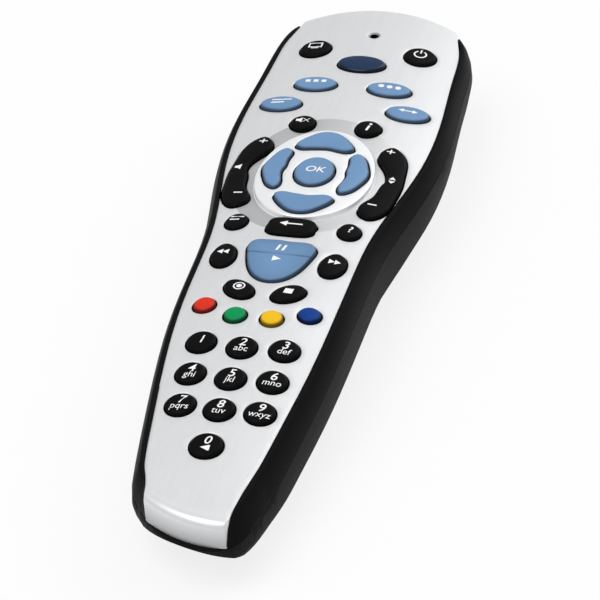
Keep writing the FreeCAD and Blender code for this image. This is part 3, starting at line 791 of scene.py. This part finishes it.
def contact(name, sides, metal):
    """Flat battery contact with rounded edges and, where a cell's flat end presses, a coil."""
    places = np.array([corner.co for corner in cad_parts[name].data.vertices])
    low, high = places.min(axis=0), places.max(axis=0)
    at_tail = name != "bridge_contact"
    thickness = CONTACT_THICKNESS * MM
    wall = low[1] if at_tail else high[1] - thickness
    mesh = bmesh.new()
    bmesh.ops.create_cube(mesh, size=1.0)
    size = Vector((high[0] - low[0], thickness, high[2] - low[2]))
    middle = Vector(((low[0] + high[0]) / 2, wall + thickness / 2, (low[2] + high[2]) / 2))
    for corner in mesh.verts:
        corner.co = corner.co * size + middle
    bmesh.ops.bevel(mesh, geom=mesh.edges[:], offset=0.3 * thickness, segments=2, affect="EDGES", profile=0.5)
    plate = finish_mesh(name + "_metal", mesh)
    seat = wall + (thickness if at_tail else 0.0)
    for side in sides:
        foot = (side * CELL_PITCH / 2 * MM, seat, CELL_Z * MM)
        joined(plate, coil(metal, foot, at_tail, SPRING_LENGTH * MM))
    plate.data.shade_smooth()
    plate.data.set_sharp_from_angle(angle=math.radians(CREASE_ANGLE))
    return plate


def polygon(*points):
    """One closed shape of a sign."""
    return [np.array(points, float)]


def shifted(shapes, x, y):
    """A sign's shapes at another place."""
    return [shape + (x, y) for shape in shapes]


def oblong(x, y, width, height, tilt=0.0):
    """Bar about a middle, tilted to the right."""
    w, h = width / 2, height / 2
    corners = [(-w, -h), (w, -h), (w, h), (-w, h)]
    return polygon(*[(x + a + b * tilt, y + b) for a, b in corners])


def round_the(x, y, places):
    """Places given by radius and angle about a point."""
    return [(x + radius * math.cos(angle), y + radius * math.sin(angle)) for radius, angle in places]


def band(x, y, inner, outer, start=0.0, end=360.0):
    """Ring or part of a ring, as a strip of quads."""
    angles = np.radians(np.linspace(start, end, int((end - start) / 12)))
    pairs = zip(angles, angles[1:])
    return [np.array(round_the(x, y, [(inner, a), (outer, a), (outer, b), (inner, b)])) for a, b in pairs]


def disc(x, y, radius):
    """Round dot."""
    return polygon(*round_the(x, y, [(radius, angle) for angle in np.linspace(0, 2 * math.pi, 25)[:-1]]))


def frame_sign(x, y, width, height, line):
    """Open rectangle."""
    shapes = oblong(x, y + (height - line) / 2, width, line) + oblong(x, y - (height - line) / 2, width, line)
    side = (width - line) / 2
    return shapes + oblong(x - side, y, line, height) + oblong(x + side, y, line, height)


def triangle(x, y, width, height):
    """Triangle that points to the right, or to the left for a negative width."""
    w = width / 2
    return polygon((x - w, y - height / 2), (x + w, y), (x - w, y + height / 2))


def signs():
    """Shapes of each key's sign, about the middle of the key."""
    speaker = oblong(-1.5, 0.5, 0.7, 1.0) + polygon((-1.2, 0.0), (-0.2, -0.7), (-0.2, 1.7), (-1.2, 1.0))
    cross = oblong(0.9, 0.5, 0.28, 1.7, 1.0) + oblong(0.9, 0.5, 0.28, 1.7, -1.0)
    plus = oblong(0, 14.0, 2.2, 0.4) + oblong(0, 14.0, 0.4, 2.0)
    up_down = polygon((-0.9, 0.3), (0.9, 0.3), (0.0, 1.5)) + polygon((-0.9, -0.3), (0.0, -1.5), (0.9, -0.3))
    pause = oblong(-0.75, 5.0, 0.62, 2.4, 0.2) + oblong(0.75, 5.0, 0.62, 2.4, 0.2)
    arrow_left = triangle(-1.9, 0.7, -1.4, 1.6) + oblong(0, 0.7, 3.0, 0.4)
    return {
        "key_tv": frame_sign(-0.2, 1.1, 3.9, 2.5, 0.4) + oblong(-0.2, -0.5, 2.0, 0.4),
        "key_power": band(0, 0.4, 1.4, 1.85, 120, 420) + oblong(0, 1.8, 0.45, 1.9),
        "key_upper_left": sum([oblong(x, 0.7, 1.3, 1.3) for x in (-2.2, 0.0, 2.2)], []),
        "key_upper_right": sum([disc(x, 0.6, 0.8) for x in (-2.3, 0.0, 2.3)], []),
        "key_lower_left": oblong(0, 1.3, 5.4, 0.55) + oblong(-0.9, -0.1, 3.6, 0.55),
        "key_lower_right": arrow_left + triangle(1.9, 0.7, 1.4, 1.6),
        "key_mute": speaker + cross,
        "key_info": disc(0.4, 1.3, 0.42) + oblong(0.0, -0.7, 0.62, 2.3, 0.18),
        "key_text": oblong(0, 1.4, 3.4, 0.5) + oblong(-0.5, 0.1, 2.4, 0.5),
        "key_rewind": triangle(-1.1, 0.9, -1.5, 1.9) + triangle(0.4, 0.9, -1.5, 1.9),
        "key_forward": triangle(-0.4, 0.9, 1.5, 1.9) + triangle(1.1, 0.9, 1.5, 1.9),
        "key_record": band(0, 0.4, 1.15, 1.5) + disc(0, 0.4, 0.7),
        "key_stop": oblong(0, 0.3, 2.1, 1.9, 0.12),
        "key_play": pause + triangle(0, 0.2, 2.2, 2.2),
        "key_back": oblong(0.8, 0.5, 4.0, 0.5) + triangle(-2.1, 0.5, -1.9, 2.2),
        "key_volume": shifted(plus, 1.4, 0.0) + shifted(speaker, -1.2, 1.0) + oblong(1.0, -10.9, 2.3, 0.5),
        "key_channel": shifted(plus, -1.4, 0.0) + shifted(up_down, 1.5, 1.4) + oblong(-1.0, -10.9, 2.3, 0.5),
        "key_0": triangle(-0.2, -1.3, -1.8, 1.6) + oblong(0.9, -1.3, 0.4, 1.6),
    }


LETTERS = ("", "", "abc", "def", "ghi", "jkl", "mno", "pqrs", "tuv", "wxyz")
TEXTS = {"key_" + str(digit): (str(digit), letters) for digit, letters in enumerate(LETTERS)}
TEXTS |= {"key_help": ("?", ""), "key_select": ("OK", "")}


def lettering(text, size, x, y, weight):
    """Flat shapes of a short text in slanted bold letters about a middle."""
    curve = bpy.data.curves.new("lettering", "FONT")
    curve.body = text
    curve.size = size
    curve.shear = 0.16
    curve.offset = weight
    curve.align_x = "CENTER"
    curve.resolution_u = 5
    holder = bpy.data.objects.new("lettering", curve)
    bpy.context.scene.collection.objects.link(holder)
    bpy.context.view_layer.update()
    flat = bpy.data.meshes.new_from_object(holder)
    shapes = [np.array([flat.vertices[v].co.xy for v in face.vertices]) + (x, y) for face in flat.polygons]
    bpy.data.objects.remove(holder)
    bpy.data.curves.remove(curve)
    bpy.data.meshes.remove(flat)
    return shapes


def covered(points, shapes):
    """Which points lie inside at least one of the convex shapes."""
    inside = np.zeros(len(points), bool)
    for shape in shapes:
        shape = turned_left(shape)
        side = np.roll(shape, -1, 0) - shape
        way = points[:, None, :] - shape[None, :, :]
        inside |= (side[:, 0] * way[:, :, 1] - side[:, 1] * way[:, :, 0] > 0).all(axis=1)
    return inside


def printed(shapes, spacing=0.7):
    """Flat triangles inside a sign's shapes, small enough to follow a dome."""
    points, edges = [], []
    for shape in shapes:
        ids = list(range(len(points), len(points) + len(shape)))
        points.extend(Vector((float(x), float(y))) for x, y in shape)
        edges.extend(zip(ids, ids[1:] + ids[:1]))
    low = np.min([s.min(axis=0) for s in shapes], axis=0)
    high = np.max([s.max(axis=0) for s in shapes], axis=0)
    for y in np.arange(low[1], high[1], spacing):
        for x in np.arange(low[0], high[0], spacing):
            points.append(Vector((float(x), float(y))))
    found = delaunay_2d_cdt(points, edges, [], 0, POINT_STEP, True)
    corners = np.array([(v.x, v.y) for v in found[0]])
    inside = covered(np.array([corners[face].mean(axis=0) for face in found[2]]), shapes)
    return corners, [face for face, kept in zip(found[2], inside) if kept]


def colour_setting(name, description, default):
    """A colour that the panel shows."""
    return bpy.props.FloatVectorProperty(name=name, description=description, default=default, subtype="COLOR")


def number_setting(name, description, default, least, most, **kind):
    """A number with its range."""
    kind |= {"name": name, "description": description}
    return bpy.props.FloatProperty(default=default, min=least, max=most, **kind)


class RemotePlateSettings(bpy.types.PropertyGroup):
    """Sizes and colour of the silver face plate."""

    colour: colour_setting("Silver", "Colour of the satin paint", (0.78, 0.79, 0.80))
    moat_depth: number_setting("Moat depth (mm)", "Depth of the sloping moat beside the disc", 0.9, 0.0, 1.2)
    edge_round: number_setting("Edge rounding (mm)", "Radius of the plate's moulded edges", 0.25, 0.05, 0.5)


class RemoteCaseSettings(bpy.types.PropertyGroup):
    """Colours of the cases and ribs of the cover's grip."""

    rail_colour: colour_setting("Rails", "Colour of the upper case", (0.008, 0.008, 0.0082))
    shell_colour: colour_setting("Shell", "Colour of the lower case", (0.015, 0.015, 0.0155))
    grip_ribs: bpy.props.IntProperty(
        name="Grip ribs", description="Ribs in the cover's grip", default=6, min=2, max=12
    )


class RemoteKeySettings(bpy.types.PropertyGroup):
    """Form and colours of the keys."""

    edge_round: number_setting("Edge rounding (mm)", "Radius of each cap's edge", 0.7, 0.1, 1.0)
    dome: number_setting("Dome (mm)", "Rise of each cap's top", 0.22, 0.0, 0.6)
    pale_blue: colour_setting("Pale blue", "Menu and cursor keys", (0.14, 0.27, 0.47))
    navy: colour_setting("Navy", "Blank oval key", (0.006, 0.025, 0.075))
    black: colour_setting("Black", "Number and function keys", (0.0035, 0.0035, 0.0036))
    red: colour_setting("Red", "Red key", (0.66, 0.03, 0.012))
    green: colour_setting("Green", "Green key", (0.0, 0.27, 0.08))
    yellow: colour_setting("Yellow", "Yellow key", (0.80, 0.47, 0.01))
    blue: colour_setting("Blue", "Blue key", (0.0, 0.04, 0.24))
    print_white: colour_setting("Print", "Ink of the signs", (0.9, 0.9, 0.9))


class RemoteStageSettings(bpy.types.PropertyGroup):
    """Camera, lamps and even light."""

    lens: number_setting("Lens", "Focal length", 156.0, 20.0, 400.0, unit="CAMERA")
    key_power: number_setting("Key lamp", "Power of the main lamp", 8.0, 0.0, 100.0, unit="POWER")
    fill_power: number_setting("Fill lamp", "Power of the fill lamp", 10.0, 0.0, 100.0, unit="POWER")
    world_strength: number_setting("World", "Strength of the even light", 0.4, 0.0, 2.0)


class REMOTE_OT_face_plate(bpy.types.Operator):
    """Silver plate with its openings, the raised disc, the moat and the rounded tail"""

    bl_idname = "remote.face_plate"
    bl_label = "Face Plate"

    def heights(self, points, cuts, edge, settings):
        """Height of the plate's top at points."""
        x, y = points[:, 0], points[:, 1]
        height = surface_z(x, y)
        reach = np.hypot(x, y - RING_Y) + TINY
        disc_edge = reach / np.hypot(x / DISC[0], (y - RING_Y) / DISC[1]).clip(TINY)
        moat_edge = reach / np.hypot(x / MOAT[0], (y - RING_Y) / MOAT[1]).clip(TINY)
        beyond = reach - disc_edge
        share = np.clip(beyond / (moat_edge - disc_edge), 0.0, 1.0)
        ramp = -settings.moat_depth * (1 - share) ** 1.1
        raised = DISC_HEIGHT - rounded(-beyond, DISC_ROUND)
        height += np.where(beyond < 0.0, raised, ramp)
        depth = from_tail(points)
        round_z = face_z(TAIL_Y + TAIL_ROUND) - TAIL_ROUND / math.cos(TAIL_SLOPE)
        fallen = round_z + np.sqrt(np.clip(TAIL_ROUND**2 - (TAIL_ROUND - depth) ** 2, 0.0, None))
        in_tail = (y < TAIL_CENTRE_Y) & (depth < TAIL_ROUND_DEPTH)
        height = np.where(in_tail, np.minimum(height, fallen), height)
        past_groove = depth - TAIL_ROUND_DEPTH - GROOVE_OFFSET
        groove = GROOVE_DEPTH * np.exp(-((past_groove / GROOVE_WIDTH) ** 2))
        height -= np.where(y < SLANT_START_Y, groove, 0.0)
        height -= rounded(nearest(points, cuts), settings.edge_round)
        side = np.where(depth < SHARP_DEPTH, settings.edge_round, edge)
        return height - rounded(side, settings.edge_round)

    def lines(self, whole, cuts, radius):
        """Lines along which the plate's triangles follow its edges, disc, moat and tail."""
        lines = [(moved(cut, radius * share), True) for cut in cuts for share in (0.08, 0.4, 1.0)]
        lines.append((ellipse(LIGHT_HOLE_Y, LIGHT_HOLE_RADIUS, LIGHT_HOLE_RADIUS, LIGHT_BEVEL, 32), True))
        lines += [(moved(whole, -radius * share), True) for share in (0.1, 0.4, 1.0)]
        lines += [(ellipse(RING_Y, *DISC, growth), True) for growth in (0.03, 0.0, -0.05, -0.18, -0.4, -0.8)]
        lines += [(ellipse(RING_Y, *MOAT, growth), True) for growth in (0.15, -0.15)]
        fall = (86, 80, 72, 63, 53, 43, 33, 23, 14, 6.7)
        depths = [TAIL_ROUND * (1 - math.sin(math.radians(angle))) for angle in fall]
        depths += [TAIL_ROUND_DEPTH + wider for wider in (0.25, 0.5, 0.75, 1.1, 1.6)]
        for depth in depths + [SKIRT_DEPTH, SKIRT_DEPTH + 0.03]:
            line = arc(depth - TAIL_RADIUS, TAIL_CENTRE_Y, math.radians(25.5), 60)[::-1]
            inside = np.abs(line[:, 0]) < TAIL_HALF + 0.1 * depth - 0.3
            lines.append((line[inside], False))
        return lines

    def execute(self, context):
        settings = context.scene.remote_plate
        cuts = [moved(respaced(cap_loop(name)[0], 0.36), CAP_GAP) for name in KEYS]
        hole = ellipse(LIGHT_HOLE_Y, LIGHT_HOLE_RADIUS, LIGHT_HOLE_RADIUS, 0.0, 32)
        whole = plate_loop()
        corners, triangles = fill(whole, cuts + [hole], self.lines(whole, cuts, settings.edge_round))
        x, y = corners[:, 0], corners[:, 1]
        top = self.heights(corners, cuts, nearest(corners, [whole]), settings)
        from_hole = np.hypot(x, y - LIGHT_HOLE_Y) - LIGHT_HOLE_RADIUS
        top -= LIGHT_CHAMFER * np.clip(LIGHT_BEVEL - from_hole, 0.0, LIGHT_BEVEL)
        depth = from_tail(corners)
        skirt = (y < TAIL_CENTRE_Y) & (depth < SKIRT_DEPTH + 0.015)
        bottom = np.where(skirt, SKIRT_Z, np.minimum(surface_z(x, y) - PLATE_THICKNESS, top - 0.3))
        painted = (y < SLANT_START_Y) & (depth < SKIRT_DEPTH + 0.5)
        corners[:, 1] += lean(x, y)
        plate = slab("silver_face_plate", corners, triangles, top, bottom, painted)
        silver = satin_silver("satin silver", settings.colour)
        bare = moulded("bare black moulding", (0.004, 0.004, 0.004), 0.6, shine=0.1)
        dress(plate, (silver, bare), "housing", "silver_plate", "face_plate")
        return {"FINISHED"}


class REMOTE_OT_cases(bpy.types.Operator):
    """Black rails, charcoal shell, battery cover with its grip ribs and the dark window"""

    bl_idname = "remote.cases"
    bl_label = "Cases"

    def execute(self, context):
        settings = context.scene.remote_case
        black = moulded("satin black", settings.rail_colour, 0.36, 0.00003, 3000.0, shine=0.012)
        grey = moulded("satin charcoal", settings.shell_colour, 0.46, 0.00005, 2200.0, shine=0.025)
        window = window_plastic("infrared window")
        dress(merged("front_case", "black_rails"), black, "housing", "black_case", "front_case")
        dress(merged("rear_shell", "charcoal_shell"), grey, "housing", "grey_case", "rear_shell")
        cover = merged("battery_cover", "charcoal_cover")
        joined(cover, grip(grey, settings.grip_ribs))
        cover.data.set_sharp_from_angle(angle=math.radians(CREASE_ANGLE))
        dress(cover, grey, "battery_cover", "grey_case", "battery_cover")
        dress(merged("ir_window", "dark_window_skin", 20.0), window, "housing", "dark_window", "ir_window")
        return {"FINISHED"}


class REMOTE_OT_keys(bpy.types.Operator):
    """Every key cap with its rounded edge, slight dome and stem"""

    bl_idname = "remote.keys"
    bl_label = "Keys"

    def execute(self, context):
        settings = context.scene.remote_keys
        # The coloured key finishes carry painted shade low on each cap's sides
        finishes = {
            "black": moulded("black key", settings.black, 0.5, 0.00006, 2400.0, 0.2, shine=0.05),
            "pale_blue": moulded("pale blue key", settings.pale_blue, 0.42, 0.00002, shine=0.35, key=True),
            "navy": moulded("navy key", settings.navy, 0.3, 0.00001, shine=0.25, key=True),
            "play": play_plastic("play key", settings.pale_blue),
        }
        carbon = moulded("carbon pill", (0.01, 0.01, 0.011), 0.7)
        slots = {finish: finish + "_key" for finish in ("black", "pale_blue", "navy")}
        slots["play"] = "pale_blue_key"
        for colour in COLOUR_KEYS.values():
            tint = getattr(settings, colour)
            finishes[colour] = moulded(colour + " key", tint, 0.45, 0.00002, shine=0.14, key=True)
            slots[colour] = colour + "_key"
        for name in KEYS:
            loop, slope = cap_loop(name)
            loop = moved(respaced(loop, 0.3), -CAP_INSET)
            shares = (0.06, 0.2, 0.4, 0.68, 1.0)
            lines = [(moved(loop, -settings.edge_round * share), True) for share in shares]
            corners, triangles = fill(loop, (), lines, 0.6)
            top = cap_heights(corners, loop, slope, settings, name)
            cap = slab(name + "_cap", corners, triangles, top, np.full(len(corners), CAP_BASE_Z))
            mark_drop(cap, slope)
            finish = "black"
            if name in PALE_BLUE:
                finish = "play" if name == "key_play" else "pale_blue"
            elif name == "key_home":
                finish = "navy"
            elif name in COLOUR_KEYS:
                finish = COLOUR_KEYS[name]
            joined(cap, stems(name))
            dress(cap, (finishes[finish], carbon), name, slots[finish], name)
        return {"FINISHED"}


class REMOTE_OT_signs(bpy.types.Operator):
    """White signs, digits and letters printed on the keys"""

    bl_idname = "remote.signs"
    bl_label = "Signs"

    def execute(self, context):
        settings = context.scene.remote_keys
        ink = white_print("white print", settings.print_white)
        drawn = signs()
        for name in KEYS:
            shapes = drawn.get(name, [])
            if name in TEXTS:
                figure, letters = TEXTS[name]
                height = HIGH_FIGURE_Y if letters or name == "key_0" else FIGURE_Y
                shapes = shapes + lettering(figure, FIGURE_SIZE, FIGURE_X, height, FIGURE_WEIGHT)
                if letters:
                    shapes += lettering(letters, LETTER_SIZE, 0.0, LETTER_Y, 0.0)
            if not shapes:
                continue
            loop, slope = cap_loop(name)
            middle = (loop.min(axis=0) + loop.max(axis=0)) / 2
            corners, triangles = printed([shape + middle for shape in shapes])
            top = cap_heights(corners, respaced(loop, 0.3), slope, settings, name) + SIGN_LIFT
            sign = slab("print_" + name, corners, triangles, top, top - SIGN_THICKNESS)
            dress(sign, ink, name, "black_key")
        return {"FINISHED"}


class REMOTE_OT_inside(bpy.types.Operator):
    """Finishes of the board, mat, cells, contacts, lamps and soldered parts"""

    bl_idname = "remote.inside"
    bl_label = "Inside"

    def execute(self, context):
        finishes = {
            "circuit_board": laminate("green laminate", (0.03, 0.16, 0.06)),
            "keymat": moulded("silicone mat", (0.30, 0.31, 0.33), 0.55, 0.00004, 1400.0),
            "ir_emitter": lens("clear resin", (0.30, 0.32, 0.36)),
            "indicator_led": lens("tinted resin", (0.25, 0.02, 0.02)),
            "resonator": moulded("tan lacquer", (0.45, 0.27, 0.09), 0.3, 0.00003),
        }
        finishes["cell_left"] = finishes["cell_right"] = bare_metal("cell sleeve", (0.16, 0.16, 0.18), 0.35)
        metal = bare_metal("nickel contact", (0.68, 0.67, 0.64), 0.28)
        package = moulded("black package", (0.02, 0.02, 0.02), 0.5, 0.00004)
        for node, sides in (("spring_contact", (-1,)), ("button_contact", ()), ("bridge_contact", (1,))):
            dress(contact(node, sides, metal), metal, "housing", "contact_metal", node)
        for node in ("controller_chip", "capacitor", "driver_transistor"):
            finishes[node] = package
        for node, finish in finishes.items():
            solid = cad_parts[node]
            if not solid.material_slots:
                raise RuntimeError("no material slot on " + node)
            for slot in solid.material_slots:
                slot.material = finish
        return {"FINISHED"}


class REMOTE_OT_stage(bpy.types.Operator):
    """Pale floor, soft lamps and the camera at the photograph's angle"""

    bl_idname = "remote.stage"
    bl_label = "Stage"

    def lamp(self, name, place, size, power):
        """Square soft lamp that faces the middle of the remote."""
        light = bpy.data.lights.new(name, "AREA")
        light.size = size
        light.energy = power
        lamp = bpy.data.objects.new(name, light)
        bpy.context.scene.collection.objects.link(lamp)
        lamp.location = place
        lamp.rotation_euler = (-Vector(place)).to_track_quat("-Z", "Y").to_euler()

    def execute(self, context):
        settings = context.scene.remote_stage
        scene = context.scene
        mesh = bmesh.new()
        bmesh.ops.create_grid(mesh, x_segments=8, y_segments=8, size=6.0)
        floor = finish_mesh("floor", mesh)
        paint = Paint("pale floor", Roughness=0.9)
        paint.feed("Base Color", paint.mix(paint.noise(40.0), *FLOOR_GREY))
        seen = paint.node("ShaderNodeLightPath", output="Is Camera Ray")
        glow = paint.node("ShaderNodeEmission", None, {"Color": (1.0, 1.0, 1.0, 1.0), "Strength": 1.0})
        blend = {"Fac": seen * BACKDROP_SHARE, 1: Wire(paint, paint.shader.outputs[0]), 2: glow}
        out = next(n for n in paint.tree.nodes if n.type == "OUTPUT_MATERIAL")
        paint.join(out.inputs["Surface"], paint.node("ShaderNodeMixShader", None, blend))
        floor.data.materials.append(paint.material)
        scene.world = bpy.data.worlds.new("studio")
        scene.world.use_nodes = True
        sky = Nodes(scene.world.node_tree)
        seen = sky.node("ShaderNodeLightPath", output="Is Camera Ray")
        strengths = {0: seen, 2: settings.world_strength, 3: 1.0}
        level = sky.node("ShaderNodeMix", {"data_type": "FLOAT"}, strengths)
        background = next(n for n in sky.tree.nodes if n.type == "BACKGROUND")
        sky.join(background.inputs["Color"], (1.0, 1.0, 1.0, 1.0))
        sky.join(background.inputs["Strength"], level)
        self.lamp("key lamp", KEY_LAMP, 1.1, settings.key_power)
        self.lamp("fill lamp", FILL_LAMP, 0.9, settings.fill_power)
        camera_data = bpy.data.cameras.new("camera")
        camera_data.lens = settings.lens
        camera_data.sensor_width = 36.0
        camera = bpy.data.objects.new("camera", camera_data)
        scene.collection.objects.link(camera)
        turn = Matrix((CAMERA_RIGHT, CAMERA_UP, CAMERA_BACK)).transposed()
        camera.matrix_world = Matrix.Translation(CAMERA_PLACE) @ turn.to_4x4()
        scene.camera = camera
        scene.view_settings.view_transform = "Standard"
        return {"FINISHED"}


OPERATORS = (
    REMOTE_OT_face_plate,
    REMOTE_OT_cases,
    REMOTE_OT_keys,
    REMOTE_OT_signs,
    REMOTE_OT_inside,
    REMOTE_OT_stage,
)
GROUPS = {
    "remote_plate": RemotePlateSettings,
    "remote_case": RemoteCaseSettings,
    "remote_keys": RemoteKeySettings,
    "remote_stage": RemoteStageSettings,
}


class REMOTE_PT_panel(bpy.types.Panel):
    """Lists the steps that build the remote and the values they use"""

    bl_idname = "REMOTE_PT_panel"
    bl_label = "Remote Control"
    bl_space_type = "VIEW_3D"
    bl_region_type = "UI"
    bl_category = "Remote"

    def draw(self, context):
        for operator in OPERATORS:
            self.layout.operator(operator.bl_idname)
        for group in GROUPS:
            box = self.layout.box()
            settings = getattr(context.scene, group)
            for name in settings.__annotations__:
                box.prop(settings, name)


def register():
    """Makes the settings, operators and panel known."""
    for name, group in GROUPS.items():
        bpy.utils.register_class(group)
        setattr(bpy.types.Scene, name, bpy.props.PointerProperty(type=group))
    for operator in OPERATORS:
        bpy.utils.register_class(operator)
    bpy.utils.register_class(REMOTE_PT_panel)


def unregister():
    """Takes them away again."""
    bpy.utils.unregister_class(REMOTE_PT_panel)
    for operator in reversed(OPERATORS):
        bpy.utils.unregister_class(operator)
    for name, group in GROUPS.items():
        delattr(bpy.types.Scene, name)
        bpy.utils.unregister_class(group)


def main():
    """Builds every piece."""
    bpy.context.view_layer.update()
    register()
    bpy.ops.remote.face_plate()
    bpy.ops.remote.cases()
    bpy.ops.remote.keys()
    bpy.ops.remote.signs()
    bpy.ops.remote.inside()
    bpy.ops.remote.stage()
    bpy.context.view_layer.update()


if __name__ == "__main__":
    main()
